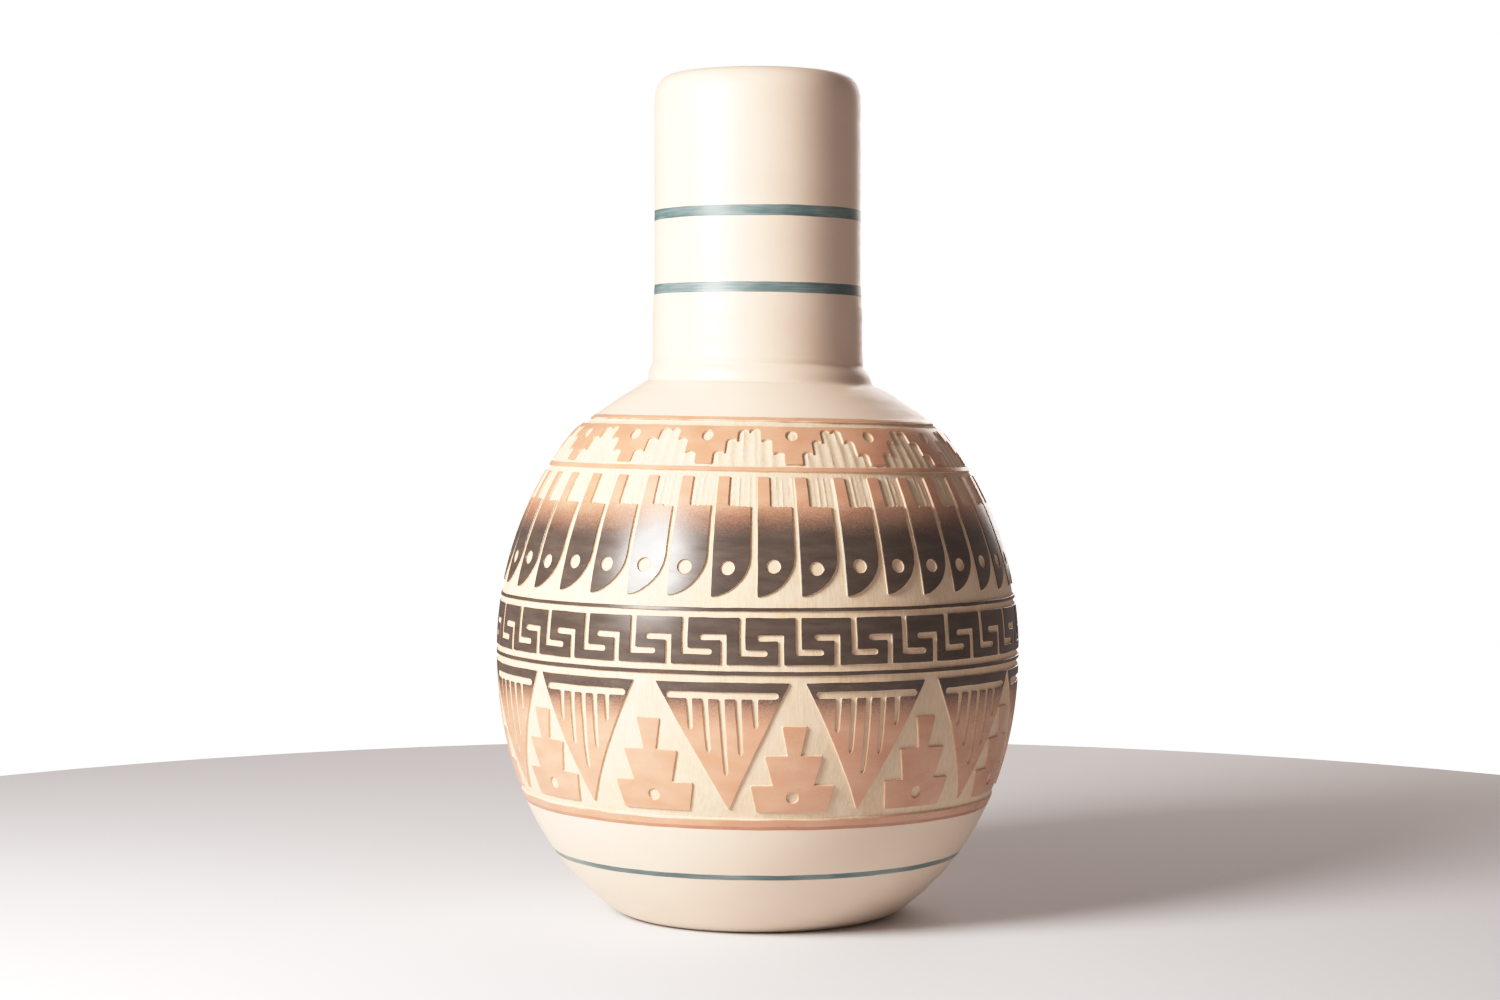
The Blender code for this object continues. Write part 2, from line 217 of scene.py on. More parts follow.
def drawn_radius(height):
    """Radius of the outside at a height, before its corners are softened."""
    if height < SHOULDER_START:
        return globe_radius(height) - FOOT_TUCK * max(0.0, 1 - height / FOOT_ROUNDING) ** 2
    if height < SHOULDER_END:
        share = (height - SHOULDER_START) / (SHOULDER_END - SHOULDER_START)
        top = globe_radius(SHOULDER_START)
        return top + (SHOULDER_END_RADIUS - top) * share
    sweep = ((height - SHOULDER_END) / NECK_SWEEP) ** NECK_SWEEP_POWER
    radius = NECK_FOOT_RADIUS + (SHOULDER_END_RADIUS - NECK_FOOT_RADIUS) * math.exp(-sweep)
    share = min(1.0, max(0.0, (height - NECK_TAPER[0]) / (NECK_TAPER[1] - NECK_TAPER[0])))
    radius += (NECK_RADIUS - NECK_FOOT_RADIUS) * share
    if height > LIP_START:
        rise = min(1.0, (height - LIP_START) / (HEIGHT - LIP_START))
        overhang = (1 - rise ** LIP_POWER) ** (1 / LIP_POWER)
        radius = LIP_CREST_RADIUS + (NECK_RADIUS - LIP_CREST_RADIUS) * overhang
    return radius


def globe_radius(height):
    rise = height - BELLY_HEIGHT
    reach = UPPER_REACH if rise > 0 else LOWER_REACH
    power = UPPER_POWER if rise > 0 else LOWER_POWER
    return BELLY_RADIUS * (1 - (abs(rise) / reach) ** power) ** (1 / power)


def softened_profile():
    """Heights, radii and slopes of the outside, with the shoulder's corners rubbed soft."""
    heights = np.arange(0.0, HEIGHT + 0.05, 0.1)
    radii = np.array([drawn_radius(z) for z in heights])
    weights = np.exp(-0.5 * (np.arange(-30, 31) / 10.0) ** 2)
    rubbed = np.convolve(radii, weights / weights.sum(), mode="same")
    middle = (heights > RUBBED[0]) & (heights < RUBBED[1])
    radii[middle] = rubbed[middle]
    return heights, radii, np.gradient(radii, heights)


PROFILE = softened_profile()


def radius_at(height):
    return float(np.interp(height, PROFILE[0], PROFILE[1]))


def place(turns, heights, depths=0.0):
    """Points, in metres, that lie at depths under the surface at each angle and height."""
    swing = np.radians(turns)
    z = heights - np.interp(heights, DROP_HEIGHTS, DROPS) * np.sin(swing)
    slope = np.interp(z, PROFILE[0], PROFILE[2])
    length = np.hypot(1.0, slope)
    radius = np.interp(z, PROFILE[0], PROFILE[1]) - depths / length
    z = z + depths * slope / length
    return np.stack((radius * np.sin(swing), -radius * np.cos(swing), z), -1) * MM


def surface_normals(points):
    slope = np.interp(points[:, 2] / MM, PROFILE[0], PROFILE[2])
    radius = np.hypot(points[:, 0], points[:, 1])
    normals = np.stack((points[:, 0] / radius, points[:, 1] / radius, -slope), 1)
    return normals / np.linalg.norm(normals, axis=1, keepdims=True)


def turned_row(columns, radius, height):
    swing = np.radians(angles(columns))
    height = np.broadcast_to(height, swing.shape)
    return np.stack((radius * np.sin(swing), -radius * np.cos(swing), height), -1) * MM


def angles(columns):
    return np.arange(columns) * 360.0 / columns


def ripple(turns, height, wave, seed, squeeze=1.0):
    """Smooth noise from -1 to 1 round the vase, with features about wave millimetres long."""
    radius = radius_at(height)
    found = []
    for swing in np.radians(turns):
        spot = (radius * math.sin(swing), radius * math.cos(swing), height * squeeze)
        found.append(noise.noise(Vector(spot) / wave + Vector((seed, 0, 0))))
    return np.array(found)


# Meshes ----------------------------------------------------------------------------------------

class Sheet:
    """Collects the rows, faces and finishes of one solid."""

    def __init__(self):
        self.points = []
        self.faces = []
        self.finishes = []
        self.flush = []

    def add_row(self, row):
        start = len(self.points)
        self.points.extend(row.tolist())
        return list(range(start, start + len(row)))

    def join(self, lower, upper, finish=0):
        """Faces between two rings; the wider-spaced ring may have a whole fraction of the other's
        points. A ring of one point closes the sheet."""
        most = max(len(lower), len(upper))
        least = min(len(lower), len(upper))
        for i in range(least if least > 1 else most):
            bottom = self.run(lower, i, least, most)
            top = self.run(upper, i, least, most)
            self.faces.append(bottom + top[::-1])
            self.finishes.append(finish)

    @staticmethod
    def run(ring, i, least, most):
        if len(ring) == 1:
            return [ring[0]]
        share = len(ring) // (least if least > 1 else most)
        return [ring[(i * share + k) % len(ring)] for k in range(share + 1)]

    def object(self, name, materials, sharp=28):
        mesh = bpy.data.meshes.new(name)
        mesh.from_pydata(self.points, [], self.faces)
        for material in materials:
            mesh.materials.append(material)
        mesh.polygons.foreach_set("material_index", self.finishes)
        mesh.shade_smooth()
        mesh.set_sharp_from_angle(angle=math.radians(sharp))
        if self.flush:
            self.shade_flush(mesh)
        piece = bpy.data.objects.new(name, mesh)
        bpy.context.scene.collection.objects.link(piece)
        return piece

    def shade_flush(self, mesh):
        """Gives the faces that lie on the vase's own surface that surface's exact normals."""
        normals = np.zeros(len(mesh.loops) * 3)
        mesh.corner_normals.foreach_get("vector", normals)
        normals = normals.reshape(-1, 3)
        exact = surface_normals(np.array(self.points))
        for face in self.flush:
            for corner in mesh.polygons[face].loop_indices:
                normals[corner] = exact[mesh.loops[corner].vertex_index]
        mesh.normals_split_custom_set(normals.tolist())


def stack(sheet, groups):
    """Adds groups of (rows, finish), each row joined to the row before it."""
    rings = []
    for rows, finish in groups:
        for row in rows:
            rings.append(sheet.add_row(row))
            if len(rings) > 1:
                sheet.join(rings[-2], rings[-1], finish)
    return rings


def declare(piece, node):
    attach(piece, "root")
    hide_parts(node)
    return piece


def spread(start, stop, step):
    count = max(1, math.ceil(abs(stop - start) / step))
    return [start + (stop - start) * i / count for i in range(count + 1)]


# Clay ------------------------------------------------------------------------------------------

def gouge(turns, pitch, centre):
    """Scallops from 0 at the ridges to 1 in the middle of each gouge stroke."""
    phase = ((turns - centre) / pitch + 0.5) % 1.0
    return 1 - (2 * phase - 1) ** 2


def carved_depth(height, turns):
    """Depth of the cut ground: flutes where the gouge ran upwards, soft dips elsewhere."""
    depth = CUT_DEPTH + 0.07 * ripple(turns, height, 2.6, 5.0, 0.4)
    depth += 0.05 * ripple(turns, height, 7.0, 9.0)
    if CLOUD_SPAN[0] - 0.6 < height < CLOUD_SPAN[1] - 0.4:
        centre = CLOUD_FIRST + CLOUD_STROKE / 2
        slant = 0.25 * ripple(turns, height, 9.0, 2.0, 0.3)
        depth += -0.20 + 0.28 * gouge(turns + slant, CLOUD_STROKE, centre)
    elif FEATHER_VANE_TOP - 1.0 < height < FEATHER_TOP + 0.4:
        slant = 0.3 * ripple(turns, height, 8.0, 3.0, 0.3)
        pitch = (FEATHER_WIDTH - QUILL_WIDTH) / FEATHER_STROKES
        depth += -0.16 + 0.24 * gouge(turns + slant, pitch, 0.0)
    return depth


def plain_depth(height, turns):
    """The burnished outside: nearly smooth, with faint rings from the wheel."""
    rings = 0.012 * math.sin(height * 1.9) + 0.010 * math.sin(height * 0.83 + 1.0)
    depth = PLAIN_DEPTH + rings + 0.018 * ripple(turns, height, 22.0, 4.0)
    for centre, width, deep in COIL_GROOVES:
        depth = depth + deep * math.exp(-((height - centre) / width) ** 2)
    swell, width = COIL_SWELL
    return depth - swell * math.exp(-((height - (COIL_TOP + COIL_BOTTOM) / 2) / width) ** 2)


def plain_rows(start, stop, columns, step=PLAIN_ROW):
    turns = angles(columns)
    return [place(turns, z, plain_depth(z, turns)) for z in spread(start, stop, step)]


def field_rows(start, stop):
    turns = angles(COLUMNS)
    return [place(turns, z, carved_depth(z, turns)) for z in spread(start, stop, FIELD_ROW)]


def bank(height, upwards):
    """Rows of the small bank between the plain surface and the cut ground."""
    turns = angles(COLUMNS)
    rows = [place(turns, height + (shift if upwards else -shift), PLAIN_DEPTH + deep)
            for shift, deep in BANK]
    return rows if upwards else rows[::-1]


def inner_rows(heights):
    """The unseen inside of the globe, with the soft ridges that the fingers left."""
    rows = []
    for z in heights:
        radius = radius_at(z)
        slope = float(np.interp(z, PROFILE[0], PROFILE[2]))
        length = math.hypot(1.0, slope)
        wave = 0.35 * math.sin(z * 0.9)
        depth = WALL + wave
        rows.append(turned_row(INNER_COLUMNS, radius - depth / length, z + depth * slope / length))
    return rows


def lower_bowl():
    sheet = Sheet()
    hollow = FOOT_RING_INNER_RADIUS - 0.8
    under = [np.array([[0.0, 0.0, FOOT_HOLLOW_DEPTH * MM]])]
    for radius in spread(2.0, hollow, 1.0):
        trim = FOOT_HOLLOW_DEPTH + 0.06 * math.sin(radius * 2.1)
        under.append(turned_row(COLUMNS, radius, trim))
    under += [turned_row(COLUMNS, FOOT_RING_INNER_RADIUS, 0.25)]
    under += [turned_row(COLUMNS, FOOT_RING_INNER_RADIUS + 0.5, 0.0)]
    under += [turned_row(COLUMNS, radius_at(0) - 0.6, 0.0)]
    plain = [place(angles(COLUMNS), z, PLAIN_DEPTH) for z in (0.15, 0.6, 1.2, 1.9)]
    plain += plain_rows(2.6, FIELD[0], COLUMNS)
    carved = bank(FIELD[0], True) + field_rows(FIELD[0] + 0.3, BELLY_JOINT_HEIGHT)
    inner = inner_rows(spread(BELLY_JOINT_HEIGHT, 14.0, 1.6))
    floor = [turned_row(INNER_COLUMNS, r, FLOOR_THICKNESS + h) for r, h in FLOOR_CURVE]
    floor += [np.array([[0.0, 0.0, FLOOR_THICKNESS * MM]])]
    stack(sheet, [(under, 2), (plain, 0), (carved, 1), (inner + floor, 2)])
    piece = sheet.object("lower_bowl_clay", clay_finishes())
    return declare(piece, "lower_bowl")


def upper_bowl():
    sheet = Sheet()
    start = BELLY_JOINT_HEIGHT + SEAM
    carved = field_rows(start, FIELD[1] - 0.3) + bank(FIELD[1], False)
    plain = plain_rows(FIELD[1] + 0.1, COIL_BOTTOM - SEAM, COLUMNS, 0.6)
    bore = SPIGOT_RADIUS + 0.3
    top = COIL_BOTTOM - SEAM
    seat = [turned_row(INNER_COLUMNS, bore, top), turned_row(INNER_COLUMNS, bore, SEAT_HEIGHT)]
    seat += [turned_row(INNER_COLUMNS, NECK_BORE_RADIUS, SEAT_HEIGHT)]
    seat += [turned_row(INNER_COLUMNS, NECK_BORE_RADIUS + 1.0, 151.0)]
    inner = inner_rows(spread(147.0, start, 1.6))
    rings = stack(sheet, [(carved, 1), (plain, 0), (seat + inner, 2)])
    sheet.join(rings[-1], rings[0], 2)
    piece = sheet.object("upper_bowl_clay", clay_finishes())
    return declare(piece, "upper_bowl")


def luting_coil():
    sheet = Sheet()
    rows = plain_rows(COIL_BOTTOM, COIL_TOP - SEAM, NECK_COLUMNS, 0.25)
    inner = SPIGOT_RADIUS + 0.3
    rows += [turned_row(NECK_COLUMNS, inner, COIL_TOP - 0.1)]
    rows += [turned_row(NECK_COLUMNS, inner, COIL_BOTTOM + 0.1)]
    rings = stack(sheet, [(rows, 0)])
    sheet.join(rings[-1], rings[0])
    piece = sheet.object("luting_coil_clay", clay_finishes())
    return declare(piece, "neck_luting_coil")


def neck():
    sheet = Sheet()
    turns = angles(NECK_COLUMNS)
    foot = [turned_row(NECK_COLUMNS, NECK_BORE_RADIUS, SEAT_HEIGHT + 0.3)]
    foot += [turned_row(NECK_COLUMNS, SPIGOT_RADIUS, SEAT_HEIGHT + 0.3)]
    foot += [turned_row(NECK_COLUMNS, SPIGOT_RADIUS, COIL_TOP - 0.05)]
    outside = plain_rows(COIL_TOP, 170.0, NECK_COLUMNS, 0.35)
    outside += plain_rows(170.6, LIP_START, NECK_COLUMNS, 0.8)
    lip = []
    for bend in np.linspace(6, 84, 14):
        across = math.cos(math.radians(bend)) ** (2 / LIP_POWER)
        up = math.sin(math.radians(bend)) ** (2 / LIP_POWER)
        radius = LIP_CREST_RADIUS + (NECK_RADIUS - LIP_CREST_RADIUS) * across - PLAIN_DEPTH
        crest = LIP_START + (HEIGHT - LIP_START) * up - PLAIN_DEPTH
        lip.append(turned_row(NECK_COLUMNS, radius, crest + 0.05 * ripple(turns, 248, 18.0, 8.0)))
    for bend in np.linspace(90, 180, 9):
        radius = LIP_CREST_RADIUS - 0.2 + 1.3 * math.cos(math.radians(bend))
        crest = HEIGHT - 1.9 + 1.85 * math.sin(math.radians(bend))
        lip.append(turned_row(NECK_COLUMNS, radius, crest))
    bore = []
    for z in spread(246.0, SEAT_HEIGHT + 1.0, 0.9):
        share = min(1.0, max(0.0, (247.0 - z) / 12.0))
        radius = LIP_BORE_RADIUS + (NECK_BORE_RADIUS - LIP_BORE_RADIUS) * share ** 1.5
        bore.append(turned_row(NECK_COLUMNS, radius + 0.22 * share * math.sin(z * 1.15), z))
    rings = stack(sheet, [(foot, 2), (outside + lip, 0), (bore, 2)])
    sheet.join(rings[-1], rings[0], 2)
    piece = sheet.object("neck_clay", clay_finishes())
    return declare(piece, "neck_tube")


# Lines -----------------------------------------------------------------------------------------

def line(name, bottom, top, finish, base_depth, columns):
    """A closed ring of slip whose edges waver as a brush or a tool does. Its wall goes down to
    base_depth, and the line under the belt has a darker lower part."""
    sheet = Sheet()
    turns = angles(columns)
    seed = len(name) * 1.7
    low = bottom + 0.10 * ripple(turns, bottom, 9.0, seed) + 0.05 * ripple(turns, bottom, 2.5, seed)
    high = top + 0.10 * ripple(turns, top, 9.0, seed) + 0.05 * ripple(turns, top, 2.5, seed + 3)
    edge = [(shift, min(depth, base_depth)) for shift, depth in EDGE]
    rows = [place(turns, low - shift, depth) for shift, depth in edge]
    rows += [place(turns, low + (high - low) * share, 0.0) for share in (0.35, 0.65)]
    rows += [place(turns, high + shift, depth) for shift, depth in reversed(edge)]
    wall = 1 if base_depth == TURNED_FOOT else 0
    loaded = 2 if name == "lower_terracotta_line" else 0
    groups = [(rows[:2], wall), (rows[2:5], loaded), (rows[5:-1], 0), (rows[-1:], wall)]
    rings = stack(sheet, groups)
    sheet.join(rings[-1], rings[0], wall)
    finishes = [material(finish), material("carved_clay"), material("terracotta_edge")]
    piece = sheet.object(name + "_slip", finishes[:3 if loaded else 2])
    return declare(piece, name)


# Slip islands ----------------------------------------------------------------------------------

def densify(points, period=0.0):
    """The outline with a point about every OUTLINE_STEP and none closer than CLOSEST. A period
    means that it runs round the vase."""
    apart = [points[0]]
    for point in points[1:]:
        if math.dist(point, apart[-1]) > CLOSEST:
            apart.append(point)
    made = []
    ends = apart[1:] + [(apart[0][0] + period, apart[0][1])]
    for (u_a, z_a), (u_b, z_b) in zip(apart, ends):
        count = max(1, round(math.hypot(u_b - u_a, z_b - z_a) / OUTLINE_STEP))
        made += [(u_a + (u_b - u_a) * i / count, z_a + (z_b - z_a) * i / count)
                 for i in range(count)]
    return np.array(made)


def neighbours(outline, period):
    before = np.roll(outline, 1, axis=0)
    after = np.roll(outline, -1, axis=0)
    before[0, 0] -= period
    after[-1, 0] += period
    return before, after


def soften(outline, period):
    """Cuts every corner once, as a tool with a round end does."""
    after = neighbours(outline, period)[1]
    cut = np.stack((outline * 0.75 + after * 0.25, outline * 0.25 + after * 0.75), axis=1)
    return cut.reshape(-1, 2)


def waver(outline, radius, seed):
    """Moves each point a little, as a hand does."""
    moved = outline.copy()
    for i, (u, z) in enumerate(outline):
        swing = u / radius
        spot = Vector((radius * math.sin(swing), radius * math.cos(swing), z))
        slow = noise.noise_vector(spot / WAVER_SLOW[0] + Vector((seed, 0, 0)))
        fast = noise.noise_vector(spot / WAVER_FAST[0] + Vector((0, seed, 0)))
        moved[i, 0] += WAVER_SLOW[1] * slow.x + WAVER_FAST[1] * fast.x
        moved[i, 1] += WAVER_SLOW[1] * slow.z + WAVER_FAST[1] * fast.z
    return moved


def grown(outline, period, amount):
    """The outline moved outwards, to the right of its direction of travel."""
    before, after = neighbours(outline, period)
    first = outline - before
    second = after - outline
    first /= np.linalg.norm(first, axis=1, keepdims=True)
    second /= np.linalg.norm(second, axis=1, keepdims=True)
    out_first = np.stack((first[:, 1], -first[:, 0]), 1)
    out_second = np.stack((second[:, 1], -second[:, 0]), 1)
    mitre = out_first + out_second
    scale = np.maximum(1 + (out_first * out_second).sum(1), 0.5)
    return outline + mitre / scale[:, None] * amount


def within(spots, loops):
    """Whether each spot is in the shape, by counting the edges to its right."""
    found = np.zeros(len(spots), bool)
    for loop in loops:
        after = np.roll(loop, -1, axis=0)
        for block in range(0, len(spots), BLOCK):
            u = spots[block:block + BLOCK, 0:1]
            z = spots[block:block + BLOCK, 1:2]
            rise = after[:, 1] - loop[:, 1]
            rise = np.where(rise == 0, 1e-12, rise)
            crosses = (loop[:, 1] > z) != (after[:, 1] > z)
            reach = loop[:, 0] + (z - loop[:, 1]) * (after[:, 0] - loop[:, 0]) / rise
            found[block:block + BLOCK] ^= (crosses & (u < reach)).sum(1) % 2 == 1
    return found


class Island:
    """A raised plate of slip. Outlines keep the slip on their left and are (u, height), where u is
    the distance round the vase at the band's own radius."""

    def __init__(self, height):
        self.radius = radius_at(height)
        self.girth = math.tau * self.radius
        self.sheet = Sheet()

    def across(self, degrees):
        return math.radians(degrees) * self.radius

    def rings_of(self, outline, period, seed):
        """The wall round one outline. Gives its lowest and its highest ring, each with its flat
        outline."""
        base = soften(densify(outline, period), period)
        base = waver(base, self.radius, seed)
        flats = [grown(base, period, shift) for shift, _ in EDGE]
        rings = []
        for flat, (_, depth) in zip(flats, EDGE):
            turns = np.degrees(flat[:, 0] / self.radius)
            rings.append(self.sheet.add_row(place(turns, flat[:, 1], depth)))
        for i, (lower, upper) in enumerate(zip(rings, rings[1:])):
            self.sheet.join(lower, upper, 1 if i == 0 else 0)
        return (flats[0], rings[0]), (flats[-1], rings[-1])

    def fill(self, parts, period, top):
        """Triangles over the shape that parts bound; each part is its flat outline and its ring.
        No outline may cross itself, because a crossing has no point of its own in the mesh."""
        flats = []
        around = []
        closed_flats = []
        owners = []
        edges = []
        ends = []
        for flat, ring in parts:
            start = len(owners)
            owners += ring
            numbers = list(range(start, start + len(ring)))
            reach = flat[-1, 0] - flat[0, 0]
            if period and abs(reach) > period / 2:
                flat = np.vstack((flat, flat[0] + (math.copysign(period, reach), 0)))
                owners.append(ring[0])
                numbers.append(start + len(ring))
                edges += list(zip(numbers, numbers[1:]))
                ends += [numbers[0], numbers[-1]]
                around.append(flat)
            else:
                edges += list(zip(numbers, numbers[1:] + numbers[:1]))
                closed_flats.append(flat)
            flats.append(flat)
        spots = np.vstack(flats)
        loops = closed_flats
        if period:
            edges += [(ends[1], ends[2]), (ends[3], ends[0])]
            loops = [np.vstack(around)] + closed_flats
        inner = self.grid(spots, loops) if top else np.zeros((0, 2))
        if len(inner):
            turns = np.degrees(inner[:, 0] / self.radius)
            owners = owners + self.sheet.add_row(place(turns, inner[:, 1], 0.0))
            spots = np.vstack((spots, inner))
        flat = [Vector(spot) for spot in spots]
        corners, _, triangles, origins, _, _ = delaunay_2d_cdt(flat, edges, [], 0, 1e-6)
        corners = np.array([tuple(c) for c in corners])
        triangles = np.array(triangles)
        kept = triangles[within(corners[triangles].mean(1), loops)]
        named = [owners[origin[0]] for origin in origins]
        for triangle in kept.tolist():
            face = [named[i] for i in triangle]
            if top:
                self.sheet.flush.append(len(self.sheet.faces))
            self.sheet.faces.append(face if top else face[::-1])
            self.sheet.finishes.append(0 if top else 1)

    def grid(self, spots, loops):
        """Evenly spread points inside the loops, and clear of spots, that carry the curve."""
        low = spots.min(0)
        high = spots.max(0)
        us = np.arange(low[0] + FILL_STEP / 2, high[0], FILL_STEP)
        zs = np.arange(low[1] + FILL_STEP / 2, high[1], FILL_STEP)
        grid = np.array([(u + (k % 2) * FILL_STEP / 2, z) for k, z in enumerate(zs) for u in us])
        if not len(grid):
            return np.zeros((0, 2))
        grid = grid[within(grid, loops)]
        clear = []
        for spot in grid:
            gap = np.abs(spots - spot)
            near = gap[(gap[:, 0] < FILL_CLEARANCE) & (gap[:, 1] < FILL_CLEARANCE)]
            clear.append(not len(near) or np.hypot(near[:, 0], near[:, 1]).min() > FILL_CLEARANCE)
        return grid[np.array(clear, bool)] if len(grid) else grid

    def solid(self, outlines, seed=0.0):
        """One separate island: its outer outline first, then its holes."""
        parts = [self.rings_of(outline, 0.0, seed + i) for i, outline in enumerate(outlines)]
        self.fill([part[0] for part in parts], 0.0, False)
        self.fill([part[1] for part in parts], 0.0, True)

    def belt(self, lower, upper, holes, seed=0.0):
        """One island that runs right round the vase between a lower and an upper outline."""
        parts = [self.rings_of(lower, self.girth, seed)]
        parts += [self.rings_of(upper, -self.girth, seed)]
        parts += [self.rings_of(hole, 0.0, seed + i) for i, hole in enumerate(holes, start=1)]
        self.fill([part[0] for part in parts], self.girth, False)
        self.fill([part[1] for part in parts], self.girth, True)

    def piece(self, name, finish, node, slot):
        made = self.sheet.object(name, [material(finish), material("carved_clay")])
        return declare(made, node)


def hole(u, z, radius, lean=1.0, corners=14):
    """A round hole, clockwise; lean shortens it where the surface leans back."""
    steps = [math.tau * i / corners for i in range(corners)]
    return [(u + radius * math.cos(a), z - radius * lean * math.sin(a)) for a in steps]


def lean_at(height):
    return 1 / math.hypot(1.0, float(np.interp(height, PROFILE[0], PROFILE[2])))


def cloud_band():
    """Terracotta that hangs from a strip between pyramids of six gouge strokes."""
    band = Island(sum(CLOUD_SPAN) / 2)
    lower = []
    holes = []
    half = band.across(CLOUD_STROKE) / 2
    count = len(CLOUD_STROKE_TOPS)
    for k in range(CLOUD_COUNT):
        centre = band.across(CLOUD_FIRST + 360 * k / CLOUD_COUNT)
        gap = band.across(180 / CLOUD_COUNT)
        edge = count * half
        lower.append((centre - edge, CLOUD_SPAN[0]))
        for i, top in enumerate(CLOUD_STROKE_TOPS):
            middle = centre - edge + half * (2 * i + 1)
            top += 0.25 * noise.noise(Vector((k * 3.1, i * 1.7, 0.5)))
            for share in (-1.0, -0.5, 0.0, 0.5, 1.0):
                lower.append((middle + half * share, top - 0.7 * share * share))
        lower.append((centre + edge, CLOUD_SPAN[0]))
        lower.append((centre + gap, CLOUD_SPAN[0]))
        z, radius = CLOUD_DOT
        shift = 0.3 * noise.noise(Vector((k * 1.3, 2.5, 0.5)))
        holes.append(hole(centre + gap + shift, z + shift, radius, CLOUD_DOT_LEAN))
    seam = 1 + 5 * (count // 2)
    lower = lower[seam:] + [(u + band.girth, z) for u, z in lower[:seam]]
    start = lower[0][0]
    upper = [(start + band.girth * (1 - i / 60), CLOUD_SPAN[1]) for i in range(60)]
    band.belt(lower, upper, holes)
    band.piece("cloud_band_slip", "terracotta_slip", "cloud_band", "terracotta_slip")


def feather_band():
    band = Island((FEATHER_TOP + FEATHER_TIP) / 2)
    for k in range(FEATHER_COUNT):
        jitter = noise.noise_vector(Vector((k * 2.37, 0.4, 7.7)))
        left = band.across(FEATHER_FIRST + 360 * k / FEATHER_COUNT + 0.35 * jitter.x)
        width = band.across(FEATHER_WIDTH + 0.3 * jitter.y)
        quill = left + band.across(QUILL_WIDTH + 0.3 * jitter.z)
        tip = FEATHER_TIP + 0.5 * jitter.z
        outline = []
        for share in (0.0, 0.2, 0.4, 0.6, 0.75, 0.88, 0.96, 1.0):
            rise = 1 - (1 - share ** 1.7) ** 0.55
            outline.append((left + width * share, tip + FEATHER_CURVE * rise))
        stroke = (left + width - quill) / FEATHER_STROKES
        for i in range(FEATHER_STROKES):
            middle = left + width - stroke * (i + 0.5)
            end = FEATHER_VANE_TOP + 0.45 * noise.noise(Vector((k * 1.9, i * 2.3, 3.1)))
            for share in (1.0, 0.0, -1.0):
                outline.append((middle + stroke / 2 * share * 0.98, end + 0.4 * share * share))
        outline += [(quill, FEATHER_TOP), (left, FEATHER_TOP)]
        offset, z, radius = FEATHER_DOT
        dot = hole(left + band.across(offset), z + 0.6 * jitter.x, radius, lean_at(z))
        band.solid([outline, dot], k * 1.1)
    band.piece("feather_band_slip", "feather_slip", "feather_band", "black_slip")


def key_band():
    band = Island(sum(KEY_SPAN) / 2)
    low, high = KEY_SPAN
    half = KEY_STROKE / 2
    lower = []
    upper = []
    for k in range(KEY_COUNT):
        jitter = noise.noise_vector(Vector((k * 1.83, 5.4, 1.7)))
        base = KEY_FIRST + 360 * k / KEY_COUNT
        stem = band.across(base + KEY_LOWER[0] + 0.3 * jitter.x)
        end = band.across(base + KEY_LOWER[2] + 0.4 * jitter.y)
        bar = KEY_LOWER[1] + 0.3 * jitter.z
        lower += [(band.across(base + KEY_LOWER_BREAK), low)]
        lower += [(stem - half, low), (stem - half, bar - half)]
        lower += hook_end(end, bar, half, -1)
        lower += [(stem + half, bar + half), (stem + half, low)]
        jitter = noise.noise_vector(Vector((k * 2.17, 3.4, 9.7)))
        stem = band.across(base + KEY_UPPER[0] + 0.3 * jitter.x)
        end = band.across(base + KEY_UPPER[2] + 0.4 * jitter.y)
        bar = KEY_UPPER[1] + 0.3 * jitter.z
        upper += [(band.across(base + KEY_UPPER_BREAK), high)]
        upper += [(stem - half, high), (stem - half, bar - half)]
        upper += hook_end(end, bar, half, 1)
        upper += [(stem + half, bar + half), (stem + half, high)]
    upper = upper[KEY_SEAM:] + [(u + band.girth, z) for u, z in upper[:KEY_SEAM]]
    band.belt(lower, upper[::-1], [])
    band.piece("key_band_slip", "black_slip", "key_band", "black_slip")


def hook_end(u, z, half, side):
    """The round end of a hook that reaches to the left (side -1) or to the right (side 1)."""
    turns = [math.radians(a) for a in (-90, -45, 0, 45, 90)]
    return [(u + side * half * (math.cos(a) - 1), z + half * math.sin(a)) for a in turns]


def comb(centre, slant, stretch, drift):
    """A carved comb, clockwise: a bar with round ends and five tines that follow the slant."""
    z, reach, half = COMB_BAR
    reach *= stretch
    z += 0.3 * drift.x
    outline = [(centre - reach, z + half), (centre + reach, z + half)]
    outline += [(centre + reach + half * 0.8, z)]
    outline += [(centre + reach, z - half)]
    for i, end in reversed(list(enumerate(COMB_ENDS))):
        u = centre + (i - 2) * COMB_PITCH * stretch + 0.3 * drift.y
        end += 0.8 * noise.noise(Vector((centre, i * 1.7, 2.2)))
        low = u + slant * (z - end)
        shoulder = COMB_HALF * 0.75
        outline += [(u + COMB_HALF, z - half), (low + shoulder, end + COMB_HALF), (low, end)]
        outline += [(low - shoulder, end + COMB_HALF), (u - COMB_HALF, z - half)]
    outline += [(centre - reach, z - half), (centre - reach - half * 0.8, z)]
    return outline


